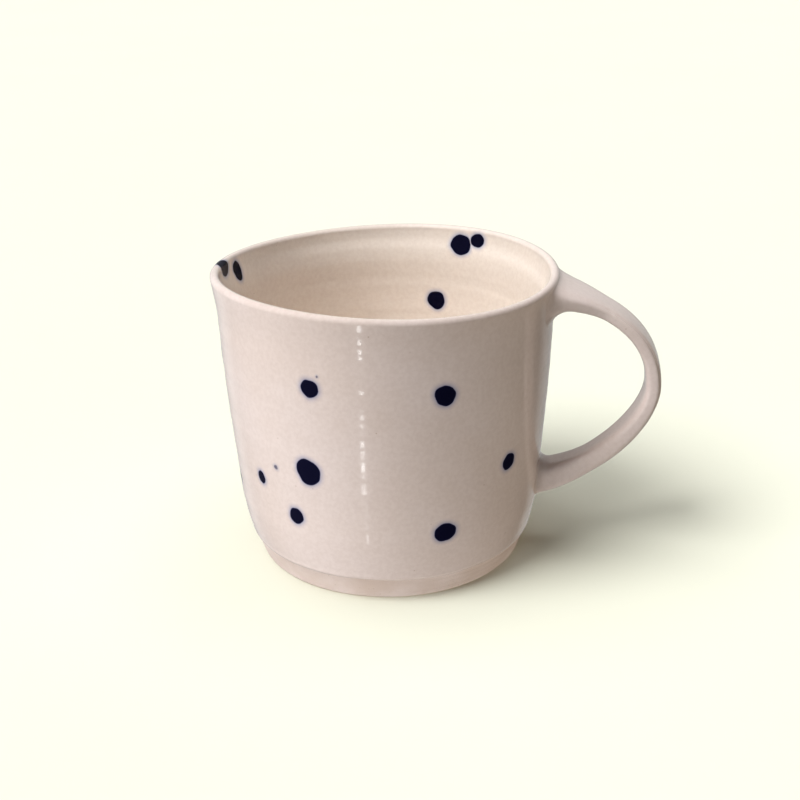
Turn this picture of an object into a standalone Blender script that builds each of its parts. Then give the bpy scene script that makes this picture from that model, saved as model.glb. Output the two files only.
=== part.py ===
"""A wheel-thrown stoneware mug with a pulled strap handle and cobalt dots in a clear glaze.

Metres, +Z up. The origin is the centre of the flat foot, on the cup's turning axis, and the
handle stands out along +X. The clay cup and the clay handle are two pieces, joined by a pad of
slip at each root. The glass over them is three coats: one outside, one inside, one on the
handle. Each cobalt dot fills a round window in its coat.
"""

from math import atan2, cos, degrees, pi, radians, sin

import bmesh
import bpy
from mathutils import Vector

# Foot band, bare clay: it splays out to the glaze line
FOOT_RADIUS = 0.0362
FOOT_HEIGHT = 0.0060
FOOT_SPLAY = 0.0021
FOOT_CHAMFER = 0.0006

# Cup, over the glaze: heel, belly, straight wall, neck and lip
CUP_HEIGHT = 0.0776
RIM_RADIUS = 0.0450
LIP_RADIUS = 0.0015
LIP_FLARE = radians(8.5)
LIP_OVERHANG = 0.0005
NECK_DROP = 0.0110
NECK_TANGENT = 0.0035
BELLY_SWELL = 0.0028
BELLY_HEIGHT = 0.0220
HEEL_TANGENT = 0.0090
WALL = 0.0034
FLOOR_HEIGHT = 0.0065
FLOOR_CORNER = 0.0120

# Coats and joints
GLAZE = 0.0004
SLIP = 0.0005
CLEARANCE = 0.00025
LIP_SEAM = radians(5)

# Handle centre line: from the upper root to the crown, then down to the lower root
HANDLE_REACH = 0.0248
UPPER_ROOT_DROP = 0.0057
LOWER_ROOT_HEIGHT = 0.0193
CROWN_HEIGHT = 0.0476
UPPER_ROOT_TANGENT = (0.0063, radians(-10))
CROWN_TANGENT_UP = 0.0180
CROWN_TANGENT_DOWN = 0.0090
LOWER_ROOT_TANGENT = (0.0176, radians(14))
ROOT_OVERRUN = 0.0080

# Handle section over its glaze: share of the centre line's length, thickness, width
HANDLE_SECTIONS = (
    (0.00, 0.0051, 0.0205),
    (0.18, 0.0034, 0.0134),
    (0.50, 0.0042, 0.0116),
    (0.80, 0.0057, 0.0083),
    (1.00, 0.0074, 0.0106),
)
SECTION_POWER = 3.0
ROOT_SHARE = 0.3

# Cobalt dots: azimuth in degrees from the handle, distance along the wall, diameter.
# Upper and inside dots are placed down from the lip's crest, lower dots up from the glaze line.
# One dot inside has a smaller twin beside it, a fixed step round the wall.
UPPER_DOTS = (
    (254, 0.0185, 0.0042),
    (297, 0.0203, 0.0050),
    (198, 0.0208, 0.0036),
    (147, 0.0160, 0.0046),
    (104, 0.0235, 0.0040),
    (62, 0.0175, 0.0052),
)
LOWER_DOTS = (
    (251, 0.0313, 0.0065),
    (244, 0.0174, 0.0042),
    (228, 0.0249, 0.0029),
    (237, 0.0300, 0.0012),
    (324, 0.0292, 0.0041),
    (298, 0.0145, 0.0051),
    (203, 0.0172, 0.0028),
    (168, 0.0290, 0.0055),
    (126, 0.0130, 0.0038),
    (88, 0.0300, 0.0047),
    (40, 0.0170, 0.0036),
)
TWIN_STEP = 0.0056
INSIDE_DOTS = (
    (67, 0.0056, 0.0054),
    (67 - degrees(TWIN_STEP / RIM_RADIUS), 0.0038, 0.0036),
    (77, 0.0226, 0.0050),
    (182, 0.0036, 0.0048),
    (171, 0.0062, 0.0043),
    (285, 0.0140, 0.0048),
    (318, 0.0310, 0.0040),
    (236, 0.0260, 0.0052),
)

# Fineness of the faceted surfaces
TURNING_STEPS = 48
CURVE_STEPS = 4
FLARE_STEPS = 3
DOT_SIDES = 12
SECTION_SIDES = 16
HANDLE_STEPS = 13
CUTTER_DEPTH = 0.0010
SHARP_ANGLE = radians(35)
MERGE_DISTANCE = 1e-6


# ---------------------------------------------------------------- plane geometry

def curve(points, steps):
    """Points along a Bezier curve with any number of controls, without its first one."""
    samples = []
    for step in range(1, steps + 1):
        t = step / steps
        level = [Vector(point) for point in points]
        while len(level) > 1:
            level = [a.lerp(b, t) for a, b in zip(level, level[1:])]
        samples.append(level[0])
    return samples


def corner(start, start_way, end, end_way):
    """The point where two lines meet, each given by a point and a direction."""
    turn = start_way.x * end_way.y - start_way.y * end_way.x
    across = end - start
    return start + start_way * ((across.x * end_way.y - across.y * end_way.x) / turn)


def inset(path, depth):
    """A turned path moved by depth to its left, into the clay. A point on the axis stays on it."""
    moved = []
    for i, point in enumerate(path):
        before = point - path[i - 1] if i else path[1] - point
        after = path[i + 1] - point if i + 1 < len(path) else before
        way = (before.normalized() + after.normalized()).normalized()
        stretch = 1 / way.dot(before.normalized())
        left = Vector((-way.y, way.x))
        place = point + left * depth * stretch
        if point.x == 0:
            place.x = 0
        moved.append(place)
    return moved


def along(path, distance):
    """The point and the direction at a distance along a path."""
    for start, end in zip(path, path[1:]):
        length = (end - start).length
        if distance <= length or end is path[-1]:
            way = (end - start).normalized()
            return start + way * distance, way
        distance -= length


def eased(t):
    """A step from 0 to 1 that starts and ends level."""
    return t * t * (3 - 2 * t)


# ---------------------------------------------------------------- cup outline

def glaze_paths():
    """The outside path from glaze line to crest, and the inside path from crest to axis."""
    glaze_line = Vector((FOOT_RADIUS + FOOT_SPLAY, FOOT_HEIGHT))
    belly = Vector((glaze_line.x + BELLY_SWELL, BELLY_HEIGHT))
    wall_top = Vector((RIM_RADIUS - LIP_OVERHANG, CUP_HEIGHT))
    wall_way = (wall_top - belly).normalized()
    neck = wall_top - wall_way * NECK_DROP
    lean = atan2(wall_way.x, wall_way.y) + LIP_FLARE
    flare_way = Vector((sin(lean), cos(lean)))
    lip_centre = Vector((RIM_RADIUS - LIP_RADIUS, CUP_HEIGHT - LIP_RADIUS))

    def lip(angle):
        return lip_centre + LIP_RADIUS * Vector((cos(angle), sin(angle)))

    def flare(low, high):
        controls = [low, low + wall_way * NECK_TANGENT, high - flare_way * NECK_TANGENT, high]
        return curve(controls, FLARE_STEPS)

    outside = [glaze_line]
    outside += curve((glaze_line, belly - wall_way * HEEL_TANGENT, belly), CURVE_STEPS)
    outside.append(neck)
    outside += flare(neck, lip(-lean))
    outside += [lip(pi / 6), lip(pi / 3), lip(pi / 2 - LIP_SEAM)]

    inner_neck = neck + Vector((-wall_way.y, wall_way.x)) * WALL
    foot_of_wall = corner(inner_neck, wall_way, Vector((0, FLOOR_HEIGHT)), Vector((1, 0)))
    bend_start = foot_of_wall + wall_way * FLOOR_CORNER
    bend_end = foot_of_wall - Vector((FLOOR_CORNER, 0))
    inside = [lip(pi / 2 + LIP_SEAM), lip(2 * pi / 3)]
    inside += [lip(pi - lean)] + flare(inner_neck, lip(pi - lean))[-2::-1]
    inside += [inner_neck, bend_start]
    inside += curve((bend_start, foot_of_wall, bend_end), CURVE_STEPS)
    inside.append(Vector((0, FLOOR_HEIGHT)))
    return outside, inside


def clay_path():
    """The clay's surface under both coats, from the glaze line to the axis."""
    outside, inside = glaze_paths()
    return inset(outside + inside, GLAZE + CLEARANCE)


def outside_radius(height):
    """Radius of the glazed outside at a height, which sets where the handle's roots lie."""
    outside = glaze_paths()[0]
    for low, high in zip(outside, outside[1:]):
        if height <= high.y:
            return low.lerp(high, (height - low.y) / (high.y - low.y)).x
    return outside[-1].x


# ---------------------------------------------------------------- mesh makers

def finish_mesh(bm, name):
    """Turn a bmesh into a smooth-shaded object with sharp edges kept."""
    bmesh.ops.recalc_face_normals(bm, faces=bm.faces)
    mesh = bpy.data.meshes.new(name)
    bm.to_mesh(mesh)
    bm.free()
    mesh.shade_smooth()
    mesh.set_sharp_from_angle(angle=SHARP_ANGLE)
    piece = bpy.data.objects.new(name, mesh)
    bpy.context.scene.collection.objects.link(piece)
    return piece


def turned(name, outline):
    """A body of revolution from a closed outline, which may run down the axis."""
    bm = bmesh.new()
    verts = [bm.verts.new((point.x, 0, point.y)) for point in outline]
    edges = []
    for start, end in zip(verts, verts[1:] + verts[:1]):
        if start.co.x or end.co.x:
            edges.append(bm.edges.new((start, end)))
    bmesh.ops.spin(bm, geom=verts + edges, cent=(0, 0, 0), axis=(0, 0, 1), angle=2 * pi,
                   steps=TURNING_STEPS, use_merge=True)
    bmesh.ops.remove_doubles(bm, verts=bm.verts, dist=MERGE_DISTANCE)
    return finish_mesh(bm, name)


def loft(bm, rings):
    """Skin a run of rings and close both ends."""
    rows = [[bm.verts.new(place) for place in ring] for ring in rings]
    sides = len(rows[0])
    for row, following in zip(rows, rows[1:]):
        for i in range(sides):
            j = (i + 1) % sides
            bm.faces.new((row[i], row[j], following[j], following[i]))
    bm.faces.new(rows[0])
    bm.faces.new(rows[-1])


def dot_prism(bm, path, azimuth, distance, radius, top, bottom):
    """A round plug between two depths under the coat's surface, bent to the wall."""
    heart = along(path, distance)[0]

    def place(side, down, depth):
        point, way = along(path, distance + down)
        point = point + Vector((-way.y, way.x)) * depth
        turn = azimuth + side / heart.x
        return Vector((point.x * cos(turn), point.x * sin(turn), point.y))

    rims = []
    hubs = []
    for depth in (top, bottom):
        ring = []
        for i in range(DOT_SIDES):
            angle = 2 * pi * i / DOT_SIDES
            ring.append(bm.verts.new(place(radius * cos(angle), radius * sin(angle), depth)))
        rims.append(ring)
        hubs.append(bm.verts.new(place(0, 0, depth)))
    for i in range(DOT_SIDES):
        j = (i + 1) % DOT_SIDES
        bm.faces.new((hubs[0], rims[0][i], rims[0][j]))
        bm.faces.new((hubs[1], rims[1][j], rims[1][i]))
        bm.faces.new((rims[0][i], rims[1][i], rims[1][j], rims[0][j]))


def cut(piece, cutter, operation):
    """Boolean a piece with a hidden cutter."""
    modifier = piece.modifiers.new(cutter.name, "BOOLEAN")
    modifier.operation = operation
    modifier.solver = "EXACT"
    modifier.object = cutter
    cutter.hide_render = True
    cutter.display_type = "WIRE"


# ---------------------------------------------------------------- handle

def handle_centre_line():
    """Centre line in the XZ plane, from the upper root over the crown to the lower root."""
    upper_height = CUP_HEIGHT - UPPER_ROOT_DROP
    upper = Vector((outside_radius(upper_height), upper_height))
    crown = Vector((RIM_RADIUS + HANDLE_REACH, CROWN_HEIGHT))
    lower = Vector((outside_radius(LOWER_ROOT_HEIGHT), LOWER_ROOT_HEIGHT))
    length, angle = UPPER_ROOT_TANGENT
    upper_pull = upper + length * Vector((cos(angle), sin(angle)))
    length, angle = LOWER_ROOT_TANGENT
    lower_pull = lower + length * Vector((cos(angle), sin(angle)))
    line = [upper]
    line += curve((upper, upper_pull, crown + Vector((0, CROWN_TANGENT_UP)), crown), HANDLE_STEPS)
    line += curve((crown, crown - Vector((0, CROWN_TANGENT_DOWN)), lower_pull, lower), HANDLE_STEPS)
    return line


def section_size(share):
    """Thickness and width of the glazed handle at a share of its length."""
    for low, high in zip(HANDLE_SECTIONS, HANDLE_SECTIONS[1:]):
        if share <= high[0]:
            t = eased((share - low[0]) / (high[0] - low[0]))
            return low[1] + (high[1] - low[1]) * t, low[2] + (high[2] - low[2]) * t
    return HANDLE_SECTIONS[-1][1:]


def handle_rings(depth, first=0.0, last=1.0):
    """Rings of the handle at a depth under its glaze, with an overrun into the wall at each root."""
    line = handle_centre_line()
    lengths = [0]
    for start, end in zip(line, line[1:]):
        lengths.append(lengths[-1] + (end - start).length)
    stations = []
    for i, point in enumerate(line):
        share = lengths[i] / lengths[-1]
        if first <= share <= last:
            way = (line[min(i + 1, len(line) - 1)] - line[max(i - 1, 0)]).normalized()
            stations.append((point, way, section_size(share)))
    inward = Vector((-ROOT_OVERRUN, 0))
    if first == 0:
        stations.insert(0, (stations[0][0] + inward,) + stations[0][1:])
    if last == 1:
        stations.append((stations[-1][0] + inward,) + stations[-1][1:])
    rings = []
    for point, way, (thickness, width) in stations:
        across = Vector((-way.y, way.x))
        ring = []
        for i in range(SECTION_SIDES):
            angle = 2 * pi * i / SECTION_SIDES
            out = abs(cos(angle)) ** (2 / SECTION_POWER) * (1 if cos(angle) > 0 else -1)
            side = abs(sin(angle)) ** (2 / SECTION_POWER) * (1 if sin(angle) > 0 else -1)
            place = point + across * out * (thickness / 2 - depth)
            ring.append((place.x, side * (width / 2 - depth), place.y))
        rings.append(ring)
    return rings


def handle_solid(name, depth, first=0.0, last=1.0):
    """A solid swept along the handle."""
    bm = bmesh.new()
    loft(bm, handle_rings(depth, first, last))
    return finish_mesh(bm, name)


def wall_solid(name, depth):
    """The cup's outside as one turned solid, at a depth under its glaze, to trim against."""
    outside = glaze_paths()[0]
    surface = inset(outside, depth)
    top = Vector((0, surface[-1].y))
    return turned(name, [Vector((0, surface[0].y))] + surface + [top])


# ---------------------------------------------------------------- materials

def finish(name, colour, roughness):
    """A Principled material with one colour and one roughness."""
    material = bpy.data.materials.new(name)
    material.use_nodes = True
    shader = material.node_tree.nodes["Principled BSDF"]
    shader.inputs["Base Color"].default_value = (*colour, 1)
    shader.inputs["Roughness"].default_value = roughness
    shader.inputs["Metallic"].default_value = 0
    material.diffuse_color = (*colour, 1)
    return material


# ---------------------------------------------------------------- pieces

def build_thrown_body(clay):
    """Wall, floor and foot band, thrown and turned as one piece of clay."""
    foot = [Vector((0, 0)), Vector((FOOT_RADIUS - FOOT_CHAMFER, 0)),
            Vector((FOOT_RADIUS, FOOT_CHAMFER))]
    body = turned("thrown_body", foot + clay_path())
    body.data.materials.append(clay)


def build_coats(glaze):
    """The outside coat and the liner, with a window for each dot and each handle root."""
    outside, inside = glaze_paths()
    underside = inset(outside + inside, GLAZE)
    under_outside = underside[:len(outside)]
    under_inside = underside[len(outside):]
    outer = turned("outer_glaze", outside + under_outside[::-1])
    liner = turned("liner_glaze", inside + under_inside[::-1])
    outer.data.materials.append(glaze)
    liner.data.materials.append(glaze)
    cut(outer, dot_windows("cutter_outside_dots", outside_dots()), "DIFFERENCE")
    cut(liner, dot_windows("cutter_inside_dots", inside_dots()), "DIFFERENCE")
    cut(outer, handle_solid("cutter_upper_window", GLAZE, last=ROOT_SHARE), "DIFFERENCE")
    cut(outer, handle_solid("cutter_lower_window", GLAZE, first=1 - ROOT_SHARE), "DIFFERENCE")


def build_handle(clay, glaze):
    """The pulled clay strap and the coat that sleeves it, both trimmed to the wall."""
    strap = handle_solid("pulled_handle", GLAZE + CLEARANCE)
    strap.data.materials.append(clay)
    root_face = GLAZE - SLIP - CLEARANCE
    cut(strap, wall_solid("cutter_root_faces", root_face), "DIFFERENCE")
    sleeve = handle_solid("handle_glaze", 0)
    sleeve.data.materials.append(glaze)
    cut(sleeve, wall_solid("cutter_sleeve_ends", -CLEARANCE), "DIFFERENCE")
    cut(sleeve, handle_solid("cutter_sleeve_bore", GLAZE), "DIFFERENCE")


def build_slip_pads(slip):
    """The pad of slip that lutes each root of the handle to the scored wall."""
    ends = (("upper_root_slip", 0, ROOT_SHARE), ("lower_root_slip", 1 - ROOT_SHARE, 1))
    for name, first, last in ends:
        pad = handle_solid(name, GLAZE + CLEARANCE, first, last)
        pad.data.materials.append(slip)
        cut(pad, wall_solid("cutter_outside_" + name, GLAZE - SLIP), "INTERSECT")
        cut(pad, wall_solid("cutter_inside_" + name, GLAZE), "DIFFERENCE")


def outside_dots():
    """Path, azimuth, distance along the path and radius of each dot on the outside."""
    up = glaze_paths()[0]
    down = up[::-1]
    dots = [(down, azimuth, distance, size, -1) for azimuth, distance, size in UPPER_DOTS]
    dots += [(up, azimuth, distance, size, 1) for azimuth, distance, size in LOWER_DOTS]
    return dots


def inside_dots():
    """The same for each dot inside the cup."""
    down = glaze_paths()[1]
    return [(down, azimuth, distance, size, 1) for azimuth, distance, size in INSIDE_DOTS]


def dot_windows(name, dots):
    """One cutter that holds a prism for each dot, a clearance wider than the dot."""
    bm = bmesh.new()
    for path, azimuth, distance, size, into_clay in dots:
        dot_prism(bm, path, radians(azimuth), distance, size / 2 + CLEARANCE,
                  -CUTTER_DEPTH * into_clay, CUTTER_DEPTH * into_clay)
    return finish_mesh(bm, name)


def build_dots(cobalt):
    """Each dot of cobalt, as thick as the coat that it fills a window of."""
    for place, dots in (("outside", outside_dots()), ("inside", inside_dots())):
        for number, (path, azimuth, distance, size, into_clay) in enumerate(dots, 1):
            bm = bmesh.new()
            dot_prism(bm, path, radians(azimuth), distance, size / 2, 0, GLAZE * into_clay)
            dot = finish_mesh(bm, f"cobalt_dot_{place}_{number:02d}")
            dot.data.materials.append(cobalt)


def main():
    for old in list(bpy.data.objects):
        bpy.data.objects.remove(old, do_unlink=True)
    clay = finish("bare_stoneware", (0.68, 0.58, 0.50), 0.60)
    glaze = finish("clear_glaze", (0.80, 0.71, 0.64), 0.12)
    slip = finish("joining_slip", (0.62, 0.53, 0.46), 0.70)
    cobalt = finish("cobalt_glaze", (0.008, 0.010, 0.050), 0.12)
    build_thrown_body(clay)
    build_coats(glaze)
    build_handle(clay, glaze)
    build_slip_pads(slip)
    build_dots(cobalt)


main()
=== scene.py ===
from math import atan2, cos, pi, radians, sin

import bmesh
import bpy
import numpy as np
from mathutils import Matrix, Vector


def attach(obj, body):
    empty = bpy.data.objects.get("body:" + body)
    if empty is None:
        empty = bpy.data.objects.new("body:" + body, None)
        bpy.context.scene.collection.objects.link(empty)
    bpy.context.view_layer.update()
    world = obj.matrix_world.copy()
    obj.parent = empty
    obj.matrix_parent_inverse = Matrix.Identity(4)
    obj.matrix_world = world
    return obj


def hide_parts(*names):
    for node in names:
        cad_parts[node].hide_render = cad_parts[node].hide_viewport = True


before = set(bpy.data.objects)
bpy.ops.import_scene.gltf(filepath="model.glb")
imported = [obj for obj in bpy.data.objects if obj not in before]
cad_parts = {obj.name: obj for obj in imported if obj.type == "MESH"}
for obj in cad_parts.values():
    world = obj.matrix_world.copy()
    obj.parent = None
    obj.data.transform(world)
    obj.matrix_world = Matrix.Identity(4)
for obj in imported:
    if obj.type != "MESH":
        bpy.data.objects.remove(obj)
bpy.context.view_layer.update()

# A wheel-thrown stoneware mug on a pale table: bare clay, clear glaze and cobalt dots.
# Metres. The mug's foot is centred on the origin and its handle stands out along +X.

# ---------------------------------------------------------------- the mug's sizes

FOOT_RADIUS = 0.0362
FOOT_HEIGHT = 0.0060
FOOT_SPLAY = 0.0021
FOOT_ROUNDING = 0.0009
DISH_DEPTH = 0.0004
DISH_RADIUS = 0.0290
DISH_SLOPE = 0.0016

CUP_HEIGHT = 0.0776
RIM_RADIUS = 0.0450
LIP_RADIUS = 0.0012
LIP_FLARE = radians(4.5)
LIP_OVERHANG = 0.0005
NECK_DROP = 0.0110
NECK_TANGENT = 0.0048
BELLY_SWELL = 0.0028
BELLY_HEIGHT = 0.0220
HEEL_TANGENT = 0.0090
WALL = 0.0034
WALL_BULGE = 0.00025
FLOOR_HEIGHT = 0.0065
FLOOR_CORNER = 0.0120

GLAZE = 0.0004
CLAY_DEPTH = 0.00048
GLAZE_ROLL = 0.0007
GLAZE_BEAD = 0.00010
GLAZE_WAVE = 0.00022

# Throwing marks: height, spacing, turns of the helix, phase
OUTSIDE_MARKS = (
    (0.000022, 0.0076, 1, 0.4),
    (0.000011, 0.0047, -1, 2.1),
    (0.000006, 0.0021, 1, 4.0),
    (0.000045, 0.0400, 2, 1.0),
)
INSIDE_MARKS = (
    (0.000026, 0.0062, 1, 1.1),
    (0.000012, 0.0038, 1, 0.2),
    (0.000006, 0.0019, -1, 3.0),
    (0.000040, 0.0350, 2, 2.0),
)
# Rim out of level: height, waves round the rim, phase
RIM_LIFT = (
    (0.00066, 1, 2.49),
    (0.00075, 2, -1.80),
)
RIM_RISE_START = 0.0400
# Distances over which the marks die out: from the lip, the axis and the glaze line
LIP_CALM, AXIS_CALM, EDGE_CALM = 0.0050, 0.0100, 0.0040
# How far over the lip the outside turns into the inside
LIP_PASSAGE = 0.0040
# Where rows stop short of the axis: the cup's, and the dish's under the foot
AXIS_GAP, DISH_START = 0.0004, 0.0005
# Waves of the glaze line: waves round the foot, share of GLAZE_WAVE, phase
EDGE_WAVES = ((3, 1.0, 1), (7, 0.5, 0), (16, 0.3, 2))
EDGE_WAVE_END = 0.0080
GLAZE_BEAD_AT, GLAZE_BEAD_WIDTH = 0.0011, 0.0006
# Turning marks on the foot: height, spacing, turns of the helix
FOOT_MARKS = ((0.000022, 0.0017, 1), (0.000014, 0.0008, -1))

# Handle
HANDLE_REACH = 0.0248
UPPER_ROOT_DROP = 0.0057
LOWER_ROOT_HEIGHT = 0.0193
CROWN_HEIGHT = 0.0476
UPPER_ROOT_TANGENT = (0.0063, radians(-10))
CROWN_TANGENT_UP = 0.0180
CROWN_TANGENT_DOWN = 0.0090
LOWER_ROOT_TANGENT = (0.0176, radians(14))
HANDLE_SECTIONS = (
    (0.00, 0.0051, 0.0205),
    (0.18, 0.0034, 0.0134),
    (0.50, 0.0042, 0.0116),
    (0.80, 0.0057, 0.0083),
    (1.00, 0.0074, 0.0106),
)
SECTION_POWER = 3.8
ROOT_OVERRUN = 0.0100
# Grooves that the fingers drew down the outer face: depth, angle from its middle, half width
GROOVE = (0.00028, radians(52), radians(9))
GROOVE_FADES = ((0.08, 0.20), (0.48, 0.62))
# Fillet of each root, along the wall and along the strap: outer face, sides, inner face
UPPER_FILLET = ((0.0032, 0.0085), (0.0045, 0.0055), (0.0050, 0.0060))
LOWER_FILLET = ((0.0012, 0.0022), (0.0012, 0.0020), (0.0034, 0.0042))
FILLET_TANGENT = 0.60
LIP_EDGE = 0.0007
SINK = 0.00003

# Fineness
AROUND = 384
OUTLINE_STEP = 0.0005
BEZIER_STEPS = 200
LINE_STEPS = 400
LIP_STEPS = 160
DISH_ROWS, ROUNDING_ROWS, BAND_ROWS, CLAY_ROWS = 90, 10, 26, 220
SECTION_SIDES = 112
STRAP_ROWS = 90
FILLET_ROWS = 16

DOT_HALO = 0.0020
DOT_EDGE = 0.00032
DOT_VEIL = 0.00105
DOT_RISE = 0.00005
# Unevenness of a dot's outline: waves round it, greatest share of its radius
DOT_WOBBLE = ((2, 0.05), (3, 0.045), (5, 0.025), (8, 0.012))
DOT_AROUND = 48
DOT_ROWS = 22


# ---------------------------------------------------------------- outlines

def unit(v):
    return v / np.linalg.norm(v)


def bezier(points, steps=BEZIER_STEPS):
    """Points along a Bezier curve with any number of controls, without its first one."""
    t = np.linspace(0, 1, steps + 1)[1:, None]
    level = [np.array(p, float) for p in points]
    while len(level) > 1:
        level = [a + (b - a) * t for a, b in zip(level, level[1:])]
    return level[0]


def line(a, b, steps=LINE_STEPS):
    return bezier((a, b), steps)


def smooth(t):
    """A step from 0 to 1 that starts and ends level."""
    t = np.clip(t, 0, 1)
    return t * t * (3 - 2 * t)


def lengths(path):
    return np.concatenate([[0], np.cumsum(np.linalg.norm(np.diff(path, axis=0), axis=1))])


def cup_outline():
    """The glazed surface as radius and height, from the glaze line over the lip to the axis."""
    start = np.array((FOOT_RADIUS + FOOT_SPLAY, FOOT_HEIGHT))
    belly = np.array((start[0] + BELLY_SWELL, BELLY_HEIGHT))
    top = np.array((RIM_RADIUS - LIP_OVERHANG, CUP_HEIGHT))
    way = unit(top - belly)
    neck = top - way * NECK_DROP
    lean = atan2(way[0], way[1]) + LIP_FLARE
    flare_way = np.array((sin(lean), cos(lean)))
    centre = np.array((RIM_RADIUS - LIP_RADIUS, CUP_HEIGHT - LIP_RADIUS))

    def lip(angle):
        return centre + LIP_RADIUS * np.array((cos(angle), sin(angle)))

    def flare(low, high):
        return bezier((low, low + way * NECK_TANGENT, high - flare_way * NECK_TANGENT, high))

    inner_neck = neck + np.array((-way[1], way[0])) * WALL
    drop = (inner_neck[1] - FLOOR_HEIGHT) / way[1]
    foot_of_wall = inner_neck - way * drop
    bend = foot_of_wall + way * FLOOR_CORNER
    bend_end = foot_of_wall - np.array((FLOOR_CORNER, 0))
    pieces = [
        start[None],
        bezier((start, belly - way * HEEL_TANGENT, belly)),
        line(belly, neck),
        flare(neck, lip(-lean)),
        np.array([lip(a) for a in np.linspace(-lean, pi - lean, LIP_STEPS)[1:]]),
        np.concatenate([flare(inner_neck, lip(pi - lean))[-2::-1], inner_neck[None]]),
        line(inner_neck, bend),
        bezier((bend, foot_of_wall, bend_end)),
        line(bend_end, np.array((0, FLOOR_HEIGHT))),
    ]
    path = np.concatenate(pieces)
    climb = (path[:, 1] - BELLY_HEIGHT) / (neck[1] - BELLY_HEIGHT)
    path[:, 0] += WALL_BULGE * np.sin(pi * np.clip(climb, 0, 1)) * (path[:, 0] > bend_end[0])
    return path


OUTLINE = cup_outline()
REACH = lengths(OUTLINE)
CREST = REACH[np.argmax(OUTLINE[:, 1])]
END = REACH[-1]
WAY = np.gradient(OUTLINE, REACH, axis=0)
WAY /= np.linalg.norm(WAY, axis=1)[:, None]


def reach_of(height, inside=False):
    """Distance along the outline at a height on the outside or the inside wall."""
    side = REACH > CREST if inside else REACH <= CREST
    z, s = OUTLINE[side, 1], REACH[side]
    return np.interp(height, z[::-1], s[::-1]) if inside else np.interp(height, z, s)


def wall_radius(height):
    side = REACH <= CREST
    return np.interp(height, OUTLINE[side, 1], OUTLINE[side, 0])


def marks(phi, s, waves):
    return sum(h * np.sin(2 * pi * s / spacing + turns * phi + phase)
               for h, spacing, turns, phase in waves)


def creaminess(s):
    """How far the glaze has turned from its outside colour to its inside one."""
    return smooth((s - CREST) / LIP_PASSAGE + 0.3)


def cup_surface(phi, s, depth=0.0):
    """Points of the cup's surface at an azimuth and a distance along the outline."""
    r = np.interp(s, REACH, OUTLINE[:, 0])
    z = np.interp(s, REACH, OUTLINE[:, 1])
    way_r = np.interp(s, REACH, WAY[:, 0])
    way_z = np.interp(s, REACH, WAY[:, 1])
    past = smooth((s - CREST) / LIP_PASSAGE + 0.5)
    thrown = marks(phi, s, OUTSIDE_MARKS) * (1 - past) + marks(phi, s, INSIDE_MARKS) * past
    calm = smooth(abs(s - CREST) / LIP_CALM) * smooth(r / AXIS_CALM) * smooth(s / EDGE_CALM)
    out = thrown * calm - depth
    lift = sum(h * np.cos(waves * phi + phase) for h, waves, phase in RIM_LIFT)
    rise = smooth((z - RIM_RISE_START) / (CUP_HEIGHT - RIM_RISE_START))
    r = r + way_z * out
    z = z - way_r * out + lift * rise
    return np.stack([r * np.cos(phi), r * np.sin(phi), z], -1)


# ---------------------------------------------------------------- meshes

def skin(rows, cap_first=True, cap_last=True):
    """Vertices and faces over rows of closed rings, with an apex closing each end."""
    count, sides = rows.shape[:2]
    verts = rows.reshape(-1, 3)
    i = np.arange(sides)
    j = (i + 1) % sides
    base = (np.arange(count - 1) * sides)[:, None]
    quads = np.stack([base + i, base + j, base + sides + j, base + sides + i], -1)
    faces = quads.reshape(-1, 4).tolist()
    for wanted, row in ((cap_first, 0), (cap_last, count - 1)):
        if wanted:
            apex = len(verts)
            verts = np.concatenate([verts, rows[row].mean(0)[None]])
            ring = row * sides
            order = zip(j, i) if row == 0 else zip(i, j)
            faces += [(ring + int(a), ring + int(b), apex) for a, b in order]
    return verts, faces


def volume(verts, faces):
    """Signed volume, by which a closed mesh shows whether its faces look outwards."""
    quads = np.array([tuple(f) + (f[0],) * (4 - len(f)) for f in faces])
    a, b, c, d = (verts[quads[:, k]] for k in range(4))
    return (np.cross(a, b) * c).sum() + (np.cross(a, c) * d).sum()


def placed(name, data):
    """An object in the scene with the given mesh, light or camera."""
    made = bpy.data.objects.new(name, data)
    bpy.context.scene.collection.objects.link(made)
    return made


def piece(name, verts, faces, material, replaced=(), values=None, closed=True):
    """An object that rides on the mug's one body and stands for CAD nodes."""
    if closed and volume(verts, faces) < 0:
        faces = [tuple(reversed(f)) for f in faces]
    mesh = bpy.data.meshes.new(name)
    mesh.from_pydata(verts.tolist(), [], faces)
    mesh.shade_smooth()
    for key, numbers in (values or {}).items():
        stored = mesh.attributes.new(key, "FLOAT", "POINT")
        stored.data.foreach_set("value", np.asarray(numbers, np.float32).ravel())
    mesh.materials.append(material)
    made = placed(name, mesh)
    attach(made, "root")
    if replaced:
        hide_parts(*replaced)
    return made


# ---------------------------------------------------------------- materials

def add(tree, kind, **inputs):
    """A shader node with sockets set or linked, by name or as in0, in1 and so on."""
    made = tree.nodes.new(kind)
    for key, value in inputs.items():
        numbered = key.startswith("in") and key[2:].isdigit()
        socket = made.inputs[int(key[2:]) if numbered else key.replace("_", " ")]
        if isinstance(value, bpy.types.NodeSocket):
            tree.links.new(value, socket)
        else:
            socket.default_value = value
    return made


def rgba(colour):
    return (*colour, 1)


def mix(tree, factor, a, b, blend="MIX"):
    """Colour a moved towards colour b by a factor."""
    made = tree.nodes.new("ShaderNodeMix")
    made.data_type = "RGBA"
    made.blend_type = blend
    for socket, value in ((made.inputs[0], factor), (made.inputs[6], a), (made.inputs[7], b)):
        if isinstance(value, bpy.types.NodeSocket):
            tree.links.new(value, socket)
        elif isinstance(value, tuple):
            socket.default_value = rgba(value)
        else:
            socket.default_value = value
    return made.outputs[2]


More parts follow.
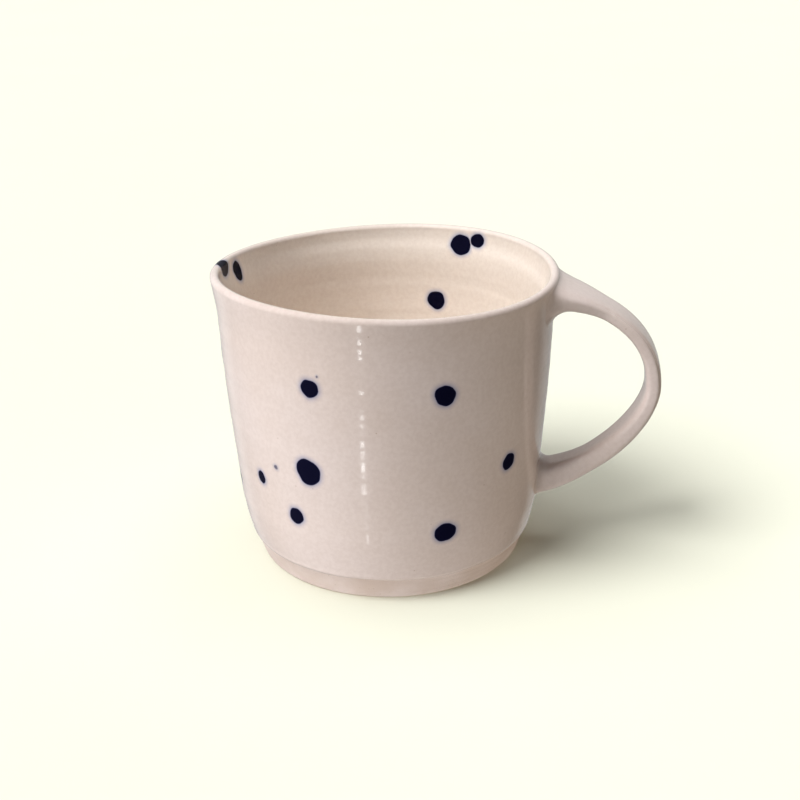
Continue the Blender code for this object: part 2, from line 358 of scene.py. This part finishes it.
def calc(tree, operation, a, b=0.0, clamp=False):
    made = add(tree, "ShaderNodeMath", in0=a, in1=b)
    made.operation = operation
    made.use_clamp = clamp
    return made.outputs[0]


def span(tree, value, low, high, to_low=0.0, to_high=1.0):
    """A value's range mapped onto another one, smoothly."""
    made = tree.nodes.new("ShaderNodeMapRange")
    made.interpolation_type = "SMOOTHSTEP"
    tree.links.new(value, made.inputs["Value"])
    ends = {"From Min": low, "From Max": high, "To Min": to_low, "To Max": to_high}
    for key, number in ends.items():
        made.inputs[key].default_value = number
    return made.outputs["Result"]


def noise(tree, place, scale, detail=2.0, roughness=0.5):
    made = add(tree, "ShaderNodeTexNoise", Vector=place, Scale=scale, Detail=detail,
               Roughness=roughness)
    return made.outputs["Fac"]


def specks(tree, place, spacing, radius, share):
    """Scattered round spots: cells of a spacing, of which a share hold a spot of a radius."""
    cells = add(tree, "ShaderNodeTexVoronoi", Vector=place, Scale=1 / spacing)
    edge = radius / spacing
    near = span(tree, cells.outputs["Distance"], edge * 0.6, edge * 1.4, 1, 0)
    parts = add(tree, "ShaderNodeSeparateColor", Color=cells.outputs["Color"])
    chosen = calc(tree, "GREATER_THAN", parts.outputs["Red"], 1 - share)
    return calc(tree, "MULTIPLY", near, chosen)


def start_material(name):
    material = bpy.data.materials.new(name)
    material.use_nodes = True
    tree = material.node_tree
    place = tree.nodes.new("ShaderNodeTexCoord").outputs["Object"]
    return material, tree, place, tree.nodes["Principled BSDF"]


def attribute(tree, name):
    made = tree.nodes.new("ShaderNodeAttribute")
    made.attribute_name = name
    return made.outputs["Fac"]


GLAZE_COLOUR = (0.655, 0.562, 0.525)
GLAZE_WARM = (0.625, 0.527, 0.480)
GLAZE_CREAM = (0.840, 0.750, 0.668)
SPECK_COLOUR = (0.28, 0.17, 0.10)
HALO_SHADE = (0.50, 0.56, 0.78)
COBALT_EDGE = (0.020, 0.022, 0.070)
COBALT_COLOUR = (0.003, 0.003, 0.014)
CLAY_COLOUR = (0.605, 0.508, 0.462)
CLAY_DARK = (0.525, 0.420, 0.360)
SLIP_COLOUR = (0.600, 0.480, 0.390)


def glaze_material(name):
    """Clear glass over pinkish clay. 'inside' turns it creamy and 'ink' stains it with cobalt."""
    material, tree, place, shader = start_material(name)
    cloud = span(tree, noise(tree, place, 28, 3), 0.35, 0.70)
    colour = mix(tree, cloud, GLAZE_COLOUR, GLAZE_WARM)
    colour = mix(tree, attribute(tree, "inside"), colour, GLAZE_CREAM)
    grain = span(tree, noise(tree, place, 900, 3, 0.6), 0.30, 0.70, 0.0, 0.16)
    colour = mix(tree, grain, colour, GLAZE_WARM, "MULTIPLY")
    spots = calc(tree, "MULTIPLY", specks(tree, place, 0.0042, 0.00018, 0.32), 0.45)
    colour = mix(tree, spots, colour, SPECK_COLOUR)
    fray = calc(tree, "MULTIPLY_ADD", noise(tree, place, 1400, 4, 0.65), 0.30)
    fray.node.inputs[2].default_value = -0.15
    ink = attribute(tree, "ink")
    edge = calc(tree, "MULTIPLY", span(tree, ink, 0.0, 0.25), span(tree, ink, 1.0, 0.75))
    ink = calc(tree, "ADD", ink, calc(tree, "MULTIPLY", fray, edge), clamp=True)
    colour = mix(tree, attribute(tree, "veil"), colour, HALO_SHADE, "MULTIPLY")
    colour = mix(tree, span(tree, ink, 0.15, 0.60), colour, COBALT_EDGE)
    colour = mix(tree, span(tree, ink, 0.50, 0.85), colour, COBALT_COLOUR)
    sheen = span(tree, ink, 0.0, 0.8, 0.5, 0.03)
    tree.links.new(sheen, shader.inputs["Specular IOR Level"])
    tree.links.new(colour, shader.inputs["Base Color"])
    gloss = span(tree, noise(tree, place, 160, 2), 0.3, 0.7, 0.07, 0.13)
    tree.links.new(gloss, shader.inputs["Roughness"])
    shader.inputs["IOR"].default_value = 1.52
    pits = specks(tree, place, 0.0030, 0.00012, 0.35)
    peel = noise(tree, place, 420, 2)
    height = calc(tree, "SUBTRACT", peel, calc(tree, "MULTIPLY", pits, 1.5))
    bump = add(tree, "ShaderNodeBump", Strength=0.20, Distance=0.00006, Height=height)
    tree.links.new(bump.outputs["Normal"], shader.inputs["Normal"])
    return material


def clay_material(name, pale, dark, roughness, tooth):
    """Bare fired clay: grainy, with darker grog and the fine lines of turning."""
    material, tree, place, shader = start_material(name)
    cloud = span(tree, noise(tree, place, 90, 4, 0.6), 0.30, 0.75)
    colour = mix(tree, cloud, pale, dark)
    grog = calc(tree, "MULTIPLY", specks(tree, place, 0.0013, 0.00014, 0.35), 0.45)
    colour = mix(tree, grog, colour, SPECK_COLOUR)
    tree.links.new(colour, shader.inputs["Base Color"])
    shader.inputs["Roughness"].default_value = roughness
    shader.inputs["Specular IOR Level"].default_value = 0.25
    axes = add(tree, "ShaderNodeSeparateXYZ", Vector=place)
    across = add(tree, "ShaderNodeVectorMath", in0=place, in1=(1, 1, 0))
    across.operation = "MULTIPLY"
    flat = add(tree, "ShaderNodeVectorMath", in0=across.outputs[0])
    flat.operation = "LENGTH"
    turning = calc(tree, "ADD", axes.outputs["Z"], flat.outputs["Value"])
    turning = calc(tree, "SINE", calc(tree, "MULTIPLY", turning, 2 * pi / 0.0008))
    sand = noise(tree, place, 2600, 3, 0.6)
    height = calc(tree, "MULTIPLY_ADD", turning, 0.18)
    tree.links.new(sand, height.node.inputs[2])
    bump = add(tree, "ShaderNodeBump", Strength=tooth, Distance=0.00012, Height=height)
    tree.links.new(bump.outputs["Normal"], shader.inputs["Normal"])
    return material


# ---------------------------------------------------------------- the cup

def around(rows):
    return np.linspace(0, 2 * pi, AROUND, endpoint=False)[None].repeat(rows, 0)


def build_cup(glaze):
    """One coat of glaze from the glaze line over the lip to the floor, closed on its underside."""
    top = np.linspace(0, END - AXIS_GAP, int(END / OUTLINE_STEP))
    near_lip = np.linspace(CREST - LIP_PASSAGE, CREST + LIP_PASSAGE, 48)
    near_edge = np.linspace(0, 0.0030, 20)
    top = np.unique(np.concatenate([top, near_lip, near_edge]))
    under = top[::-4]
    s = np.concatenate([under, top])[:, None].repeat(AROUND, 1)
    phi = around(len(s))
    wave = GLAZE_WAVE * sum(share * np.sin(n * phi + phase) for n, share, phase in EDGE_WAVES)
    roll = s / GLAZE_ROLL
    depth = GLAZE * (1 - np.sqrt(1 - np.clip(1 - roll, 0, 1) ** 2))
    depth = depth - GLAZE_BEAD * np.exp(-((s - GLAZE_BEAD_AT) / GLAZE_BEAD_WIDTH) ** 2)
    depth[: len(under)] = GLAZE
    s = s + (wave + GLAZE_WAVE) * (1 - smooth(s / EDGE_WAVE_END))
    verts, faces = skin(cup_surface(phi, s, depth))
    inside = np.concatenate([creaminess(s).ravel(), [1, 1]])
    piece("glazed_cup", verts, faces, glaze, ("outer_glaze", "liner_glaze"),
          {"inside": inside})


def build_body(clay):
    """The clay cup: a dished underside, the bare foot band, and the wall under the glaze."""
    dish = np.array([(r, DISH_DEPTH * (1 - smooth((r - DISH_RADIUS) / DISH_SLOPE)))
                     for r in np.linspace(DISH_START, FOOT_RADIUS - FOOT_ROUNDING, DISH_ROWS)])
    centre = np.array((FOOT_RADIUS - FOOT_ROUNDING, FOOT_ROUNDING))
    rounding = np.array([centre + FOOT_ROUNDING * np.array((sin(a), -cos(a)))
                         for a in np.linspace(0, pi / 2, ROUNDING_ROWS)[1:]])
    turned_in = np.interp(0, REACH, OUTLINE[:, 0]) - CLAY_DEPTH
    band = line(rounding[-1], np.array((turned_in, FOOT_HEIGHT)), BAND_ROWS)[:-1]
    foot = np.concatenate([dish, rounding, band])
    s = lengths(foot)[:, None]
    phi = around(len(foot))
    mark = sum(h * np.sin(2 * pi * s / spacing + turns * phi) for h, spacing, turns in FOOT_MARKS)
    mark = mark * smooth(foot[:, :1] / 0.008) * (foot[:, 1:] < FOOT_HEIGHT - 0.0004)
    r = foot[:, :1] + mark * (foot[:, 1:] > FOOT_ROUNDING)
    z = foot[:, 1:] + abs(mark) * (foot[:, 1:] <= DISH_DEPTH) + 0 * phi
    rows = np.stack([r * np.cos(phi), r * np.sin(phi), z], -1)
    s = np.linspace(0, END - AXIS_GAP, CLAY_ROWS)[:, None].repeat(AROUND, 1)
    covered = cup_surface(around(len(s)), s, CLAY_DEPTH)
    verts, faces = skin(np.concatenate([rows, covered]))
    piece("turned_foot_and_body", verts, faces, clay, ("thrown_body",))


# ---------------------------------------------------------------- the handle

def strap_grid():
    """Points over the strap: stations from beyond one root to beyond the other, by angle."""
    upper = np.array((wall_radius(CUP_HEIGHT - UPPER_ROOT_DROP), CUP_HEIGHT - UPPER_ROOT_DROP))
    crown = np.array((RIM_RADIUS + HANDLE_REACH, CROWN_HEIGHT))
    lower = np.array((wall_radius(LOWER_ROOT_HEIGHT), LOWER_ROOT_HEIGHT))
    length, angle = UPPER_ROOT_TANGENT
    upper_pull = upper + length * np.array((cos(angle), sin(angle)))
    length, angle = LOWER_ROOT_TANGENT
    lower_pull = lower + length * np.array((cos(angle), sin(angle)))
    up, down = np.array((0, CROWN_TANGENT_UP)), np.array((0, CROWN_TANGENT_DOWN))
    path = np.concatenate([
        upper[None],
        bezier((upper, upper_pull, crown + up, crown)),
        bezier((crown, crown - down, lower_pull, lower)),
    ])
    way = np.gradient(path, axis=0)
    way /= np.linalg.norm(way, axis=1)[:, None]
    share = lengths(path) / lengths(path)[-1]
    thick, wide = np.zeros(len(path)), np.zeros(len(path))
    for low, high in zip(HANDLE_SECTIONS, HANDLE_SECTIONS[1:]):
        here = (share >= low[0]) & (share <= high[0])
        t = smooth((share[here] - low[0]) / (high[0] - low[0]))
        thick[here] = low[1] + (high[1] - low[1]) * t
        wide[here] = low[2] + (high[2] - low[2]) * t
    overrun = np.arange(0.0002, ROOT_OVERRUN, 0.0002)
    inward = np.stack([-overrun, 0 * overrun], 1)
    path = np.concatenate([path[0] + inward[::-1], path, path[-1] + inward])
    pad = (len(overrun), len(overrun))
    thick, wide, share = (np.pad(held, pad, "edge") for held in (thick, wide, share))
    way = np.pad(way, (pad, (0, 0)), "edge")
    angle = np.linspace(0, 2 * pi, SECTION_SIDES, endpoint=False)
    out = np.sign(np.cos(angle)) * abs(np.cos(angle)) ** (2 / SECTION_POWER)
    side = np.sign(np.sin(angle)) * abs(np.sin(angle)) ** (2 / SECTION_POWER)
    across = np.stack([-way[:, 1], way[:, 0]], 1)
    (rise_from, rise_to), (fall_from, fall_to) = GROOVE_FADES
    fade = smooth((share - rise_from) / (rise_to - rise_from))
    fade = fade * (1 - smooth((share - fall_from) / (fall_to - fall_from)))
    deepest, middle, half_width = GROOVE
    from_outer = abs((angle + pi) % (2 * pi) - pi)
    groove = deepest * fade[:, None] * np.exp(-((from_outer - middle) / half_width) ** 2)[None]
    deep = out[None] * thick[:, None] / 2 - groove * np.cos(angle)
    x = path[:, :1] + across[:, :1] * deep
    z = path[:, 1:] + across[:, 1:] * deep
    y = side[None] * wide[:, None] / 2 - groove * np.sin(angle)
    crown_row = len(overrun) + BEZIER_STEPS
    return np.stack([x, y + 0 * x, z], -1), crown_row, angle


def root_fillet(half, fillet, angle):
    """Rows of half a handle from the crown to a root that runs out onto the wall."""
    outer, sides, inner = np.array(fillet)
    face = (np.cos(angle) ** 2)[:, None]
    facing = np.where(np.cos(angle)[:, None] > 0, outer, inner)
    size, along = (facing * face + sides * (1 - face)).T
    gap = np.hypot(half[..., 0], half[..., 1]) - wall_radius(half[..., 2])
    crossing, runs = [], []
    for k in range(SECTION_SIDES):
        reach = lengths(half[:, k])
        last = np.argmax(gap[:, k] <= 0)
        share = gap[last - 1, k] / (gap[last - 1, k] - gap[last, k])
        at = reach[last - 1] + share * (reach[last] - reach[last - 1])
        crossing.append([np.interp(at, reach, half[:, k, c]) for c in range(3)])
        runs.append((reach, at))
    crossing = np.array(crossing)
    u = np.arctan2(crossing[:, 1], crossing[:, 0])
    v = reach_of(crossing[:, 2])
    radius = wall_radius(crossing[:, 2])
    flat = np.stack([u * radius, v], 1)
    tangent = np.roll(flat, -1, 0) - np.roll(flat, 1, 0)
    normal = np.stack([tangent[:, 1], -tangent[:, 0]], 1)
    normal /= np.linalg.norm(normal, axis=1)[:, None]
    if ((flat - flat.mean(0)) * normal).sum() < 0:
        normal = -normal

    def on_wall(away, depth):
        place = flat + normal * away[:, None]
        reach = np.minimum(place[:, 1], CREST - LIP_EDGE)
        return cup_surface(place[:, 0] / radius, reach, depth)

    landing = on_wall(size, SINK)
    before = on_wall(size * (1 - FILLET_TANGENT), 0.0)
    rows = np.zeros((STRAP_ROWS + FILLET_ROWS, SECTION_SIDES, 3))
    for k, (reach, at) in enumerate(runs):
        start = at - along[k]
        steps = np.linspace(0, start, STRAP_ROWS)
        for c in range(3):
            rows[:STRAP_ROWS, k, c] = np.interp(steps, reach, half[:, k, c])
        ahead = np.array([np.interp(start + 1e-4, reach, half[:, k, c]) for c in range(3)])
        leave = rows[STRAP_ROWS - 1, k]
        pull = leave + unit(ahead - leave) * along[k] * FILLET_TANGENT
        rows[STRAP_ROWS:, k] = bezier((leave, pull, before[k], landing[k]), FILLET_ROWS)
    buried = on_wall(size * 0.6, GLAZE)
    return np.concatenate([rows, buried[None]])


def build_handle(glaze):
    """The pulled strap under its glaze, faired into the wall at both roots."""
    grid, crown, angle = strap_grid()
    upper = root_fillet(grid[crown::-1], UPPER_FILLET, angle)
    lower = root_fillet(grid[crown:], LOWER_FILLET, angle)
    verts, faces = skin(np.concatenate([upper[:0:-1], lower]))
    piece("pulled_strap_handle", verts, faces, glaze, ("handle_glaze",))


# ---------------------------------------------------------------- the dots

def dot_patch(phi0, s0, wide, tall, seed, strength=1.0):
    """A lens of cobalt on the cup's surface, with its stain thinning out round it."""
    rng = np.random.default_rng(seed)
    angle = np.linspace(0, 2 * pi, DOT_AROUND, endpoint=False)
    outline = np.ones(DOT_AROUND)
    for waves, most in DOT_WOBBLE:
        outline += rng.uniform(0.3, 1) * most * np.cos(waves * angle + rng.uniform(0, 2 * pi))
    size = (wide + tall) / 4
    halo = min(DOT_HALO, size * 1.2)
    edge = min(DOT_EDGE, size * 0.5)
    t = np.linspace(0, 1, DOT_ROWS)[1:, None]
    r = t * (size * outline + halo)[None]
    past = r - size * outline
    ink = strength * (1 - smooth((past + edge) / (2 * edge)))
    veil = strength * np.exp(-np.maximum(past, 0) / DOT_VEIL) * (1 - smooth(past / halo))
    u = r * np.cos(angle) * wide / (2 * size)
    v = r * np.sin(angle) * tall / (2 * size)
    radius = np.interp(s0, REACH, OUTLINE[:, 0])
    rise = DOT_RISE * (1 - smooth(t * 1.1)) + SINK * (0.7 - 1.4 * smooth((t - 0.8) / 0.2))
    top = cup_surface(phi0 + u / radius, s0 + v, -rise)
    under = cup_surface(phi0 + u[-1:] / radius, s0 + v[-1:], GLAZE)
    middle = cup_surface(np.array([phi0]), np.array([s0]), -DOT_RISE)
    verts, faces = skin(np.concatenate([top, under]))
    verts[-2] = middle[0]
    ink = np.concatenate([ink.ravel(), np.zeros(DOT_AROUND), [strength, 0]])
    veil = np.concatenate([veil.ravel(), np.zeros(DOT_AROUND), [strength, 0]])
    under_inside = np.zeros(DOT_AROUND)
    inside = np.concatenate([creaminess(s0 + v).ravel(), under_inside, [float(s0 > CREST), 0]])
    return verts, faces, {"ink": ink, "veil": veil, "inside": inside}


# Dots wider or taller than their round CAD node: width and height as shares of its size
STRETCHED = {
    "cobalt_dot_outside_07": (1.00, 1.03),
    "cobalt_dot_outside_08": (0.93, 1.05),
    "cobalt_dot_outside_09": (0.93, 1.10),
    "cobalt_dot_outside_12": (1.04, 0.98),
    "cobalt_dot_inside_01": (1.13, 1.00),
    "cobalt_dot_inside_02": (1.14, 1.00),
    "cobalt_dot_inside_04": (1.35, 1.00),
    "cobalt_dot_inside_05": (1.00, 1.14),
}
# Every dot spreads a little past its node. Some lie further back along the outline, which is
# lower on the outside and higher on the inside.
SPREAD = 0.0003
MOVED_BACK = {
    "cobalt_dot_outside_01": 0.0007,
    "cobalt_dot_inside_04": 0.0018,
    "cobalt_dot_inside_05": 0.0012,
}
# Colour left in a dot, where it is thinner than the others
FADED = {"cobalt_dot_outside_10": 0.45}


def build_dots(glaze):
    """A fine dot where each CAD dot lies."""
    names = sorted(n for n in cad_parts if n.startswith("cobalt_dot"))
    for number, name in enumerate(names):
        points = np.array([v.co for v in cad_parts[name].data.vertices])
        inner = "inside" in name
        heart = points.mean(0)
        phi0 = atan2(heart[1], heart[0])
        turned = np.arctan2(points[:, 1], points[:, 0]) - phi0
        turned = (turned + pi) % (2 * pi) - pi
        size = np.hypot(heart[0], heart[1]) * (turned.max() - turned.min())
        wide, tall = STRETCHED.get(name, (1.0, 1.0))
        s0 = float(reach_of(heart[2], inner)) - MOVED_BACK.get(name, 0.0)
        wide, tall = wide * size + SPREAD, tall * size + SPREAD
        strength = FADED.get(name, 1.0)
        verts, faces, values = dot_patch(phi0, s0, wide, tall, number, strength)
        piece(name + "_stain", verts, faces, glaze, (name,), values)


# Stray flecks of cobalt: azimuth, height, size, inside or not, strength
FLECKS = (
    (256.9, 0.0625, 0.0007, False, 0.45),
)


def build_flecks(glaze):
    verts, faces, values = [], [], []
    first = 0
    for number, (azimuth, height, size, inner, strength) in enumerate(FLECKS):
        s0 = float(reach_of(height, inner))
        v, f, held = dot_patch(radians(azimuth), s0, size, size, 100 + number, strength)
        verts.append(v)
        faces += [tuple(k + first for k in face) for face in f]
        values.append(held)
        first += len(v)
    joined = {key: np.concatenate([held[key] for held in values]) for key in values[0]}
    piece("cobalt_flecks", np.concatenate(verts), faces, glaze, (), joined)


# ---------------------------------------------------------------- camera, light and floor

CAMERA_DISTANCE = 0.32574
CAMERA_ELEVATION = radians(22.94)
CAMERA_AZIMUTH = radians(9)
CAMERA_ROLL = radians(-1.44)
CAMERA_LENS = 54
CAMERA_SHIFT = (0.0149, 0.0044)

FLOOR_COLOUR = (0.702, 0.706, 0.597)
BACKDROP_COLOUR = (0.99, 1.0, 0.86)
BACKDROP_SHADE = (0.8, 0.8, 0.7)
BACKDROP_RADIUS = 5.8
TABLE_HALF = 6.0
NEUTRAL = (1.0, 1.0, 1.0)
WARM = (1.0, 0.93, 0.80)
WARMER = (1.0, 0.86, 0.66)
# Soft lights: azimuth from the camera's side, elevation, width across, strength, colour.
# Those below the table stand for what the pale table throws back.
LIGHTS = (
    ("key", -60, 54, 32, 2.95, NEUTRAL),
    ("overhead_left", -95, 66, 40, 1.22, NEUTRAL),
    ("overhead_right", 108, 78, 40, 1.10, NEUTRAL),
    ("behind", 150, 15, 40, 0.50, NEUTRAL),
    ("table_left", -90, -25, 40, 1.78, NEUTRAL),
    ("table_front_left", -40, -25, 40, 1.18, NEUTRAL),
    ("table_front", 10, -25, 40, 0.36, WARM),
    ("table_right_front", 52, -38, 40, 0.32, WARM),
    ("table_right", 100, -25, 40, 0.98, WARMER),
)
# The bright table close in front: azimuth, elevation, distance, width, strength
NEAR_TABLE = (2, -36, 0.12, 0.08, 0.40)
ROOM_GLOW = 0.14
ROOM_COLOUR = (1, 1, 0.97, 1)
# Bright parts of the room that the glaze reflects: azimuth, elevation, cosine of the angle off
# that way at the edge and at full strength, strength. The far table, then the window overhead.
REFLECTED = (
    (180, -12, 0.62, 0.80, 0.42),
    (-60, 58, 0.84, 0.96, 0.8),
)
# Window glare on the table, seen only in the glaze: azimuth, elevation, width, height, strength
GLARES = (
    (-18.5, -30.8, 0.035, 0.060, 3.0),
    (-18.5, -38.0, 0.020, 0.050, 1.4),
)
GLARE_DISTANCE = 1.0


def from_camera_side(azimuth, elevation):
    """A direction given from the camera's side of the mug, with azimuth positive to the right."""
    turn = CAMERA_AZIMUTH + azimuth
    return Vector((sin(turn) * cos(elevation), -cos(turn) * cos(elevation), sin(elevation)))


def build_camera():
    camera = placed("camera", bpy.data.cameras.new("camera"))
    aim = Vector((0, 0, CUP_HEIGHT / 2))
    back = from_camera_side(0, CAMERA_ELEVATION)
    turn = back.to_track_quat("Z", "Y").to_matrix() @ Matrix.Rotation(CAMERA_ROLL, 3, "Z")
    camera.location = aim + back * CAMERA_DISTANCE
    camera.rotation_euler = turn.to_euler()
    camera.data.lens = CAMERA_LENS
    camera.data.sensor_width = 36
    camera.data.shift_x, camera.data.shift_y = CAMERA_SHIFT
    camera.data.clip_start = 0.01
    camera.data.clip_end = 100
    bpy.context.scene.camera = camera


def keep_from_mug(surface):
    """The mug neither reflects a surface of the room nor gets light or shade from it."""
    surface.visible_glossy = False
    surface.visible_diffuse = False
    surface.visible_shadow = False


def build_floor():
    mesh = bpy.data.meshes.new("table")
    half = TABLE_HALF
    corners = [(-half, -half, 0), (half, -half, 0), (half, half, 0), (-half, half, 0)]
    mesh.from_pydata(corners, [], [(0, 1, 2, 3)])
    floor = placed("table", mesh)
    material, tree, place, shader = start_material("table_paper")
    tone = span(tree, noise(tree, place, 6, 2), 0.3, 0.7, 0.0, 0.01)
    colour = mix(tree, tone, FLOOR_COLOUR, (0.0, 0.0, 0.0))
    tree.links.new(colour, shader.inputs["Base Color"])
    shader.inputs["Roughness"].default_value = 1.0
    shader.inputs["Specular IOR Level"].default_value = 0.0
    mesh.materials.append(material)
    # The lights below it stand for the light it throws back, so it only catches shadows
    keep_from_mug(floor)


def build_backdrop():
    """A pale dome behind the table's far edge, which only the camera sees."""
    bm = bmesh.new()
    bmesh.ops.create_uvsphere(bm, u_segments=96, v_segments=48, radius=BACKDROP_RADIUS)
    mesh = bpy.data.meshes.new("backdrop")
    bm.to_mesh(mesh)
    bm.free()
    backdrop = placed("backdrop", mesh)
    material, tree, place, shader = start_material("backdrop_paper")
    shader.inputs["Base Color"].default_value = (0, 0, 0, 1)
    shader.inputs["Specular IOR Level"].default_value = 0.0
    tone = span(tree, noise(tree, place, 0.5, 2), 0.3, 0.7, 0.0, 0.02)
    colour = mix(tree, tone, BACKDROP_COLOUR, BACKDROP_SHADE)
    tree.links.new(colour, shader.inputs["Emission Color"])
    shader.inputs["Emission Strength"].default_value = 1.0
    mesh.materials.append(material)
    keep_from_mug(backdrop)


def add_light(name, kind, azimuth, elevation, strength, distance=0.0, height=0.0):
    """A light that shines at a height on the mug's axis, from a way off in a direction."""
    light = placed(name, bpy.data.lights.new(name, kind))
    way = from_camera_side(radians(azimuth), radians(elevation))
    light.location = Vector((0, 0, height)) + way * distance
    light.rotation_euler = way.to_track_quat("Z", "Y").to_euler()
    light.data.energy = strength
    return light


def build_lights():
    for name, azimuth, elevation, across, strength, colour in LIGHTS:
        light = add_light(name, "SUN", azimuth, elevation, strength)
        light.data.angle = radians(across)
        light.data.color = colour
        light.visible_glossy = False
    azimuth, elevation, distance, wide, strength = NEAR_TABLE
    power = strength * wide * wide * 4 * pi
    glow = add_light("near_table", "AREA", azimuth, elevation, power, distance, BELLY_HEIGHT)
    glow.data.size = wide
    glow.visible_glossy = False
    glow.visible_camera = False
    for azimuth, elevation, wide, tall, strength in GLARES:
        power = strength * wide * tall * 4 * pi
        glare = add_light("glare", "AREA", azimuth, elevation, power, GLARE_DISTANCE,
                          CUP_HEIGHT / 2)
        glare.data.shape = "RECTANGLE"
        glare.data.size, glare.data.size_y = wide, tall
        glare.visible_diffuse = False
        glare.visible_camera = False


def build_room():
    """A dim room, lighter on the left, that the glaze reflects."""
    world = bpy.data.worlds.new("room")
    bpy.context.scene.world = world
    world.use_nodes = True
    world.cycles_visibility.diffuse = False
    tree = world.node_tree
    way = tree.nodes.new("ShaderNodeTexCoord").outputs["Generated"]

    def patch(azimuth, elevation, edge, full, dim, bright):
        toward = tuple(from_camera_side(radians(azimuth), radians(elevation)))
        dot = add(tree, "ShaderNodeVectorMath", in0=way, in1=toward)
        dot.operation = "DOT_PRODUCT"
        return span(tree, dot.outputs["Value"], edge, full, dim, bright)

    glow = calc(tree, "MULTIPLY", patch(-80, 20, -0.3, 1.0, 0.5, 4.0), ROOM_GLOW)
    for azimuth, elevation, edge, full, bright in REFLECTED:
        glow = calc(tree, "ADD", glow, patch(azimuth, elevation, edge, full, 0.0, bright))
    tree.links.new(glow, tree.nodes["Background"].inputs["Strength"])
    tree.nodes["Background"].inputs["Color"].default_value = ROOM_COLOUR


def main():
    glaze = glaze_material("clear_glaze_over_clay")
    clay = clay_material("bare_stoneware", CLAY_COLOUR, CLAY_DARK, 0.75, 0.5)
    slip = clay_material("joining_slip", SLIP_COLOUR, CLAY_DARK, 0.85, 0.3)
    build_cup(glaze)
    build_body(clay)
    build_handle(glaze)
    build_dots(glaze)
    build_flecks(glaze)
    # CAD pieces that are shown as they are, where the fine ones let them be seen
    carried = {"pulled_handle": clay, "upper_root_slip": slip, "lower_root_slip": slip}
    for name, material in carried.items():
        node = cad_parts[name]
        node.data.materials.clear()
        node.data.materials.append(material)
    build_camera()
    build_floor()
    build_backdrop()
    build_room()
    build_lights()
    bpy.context.scene.view_settings.view_transform = "Standard"
    bpy.context.scene.view_settings.look = "None"


main()
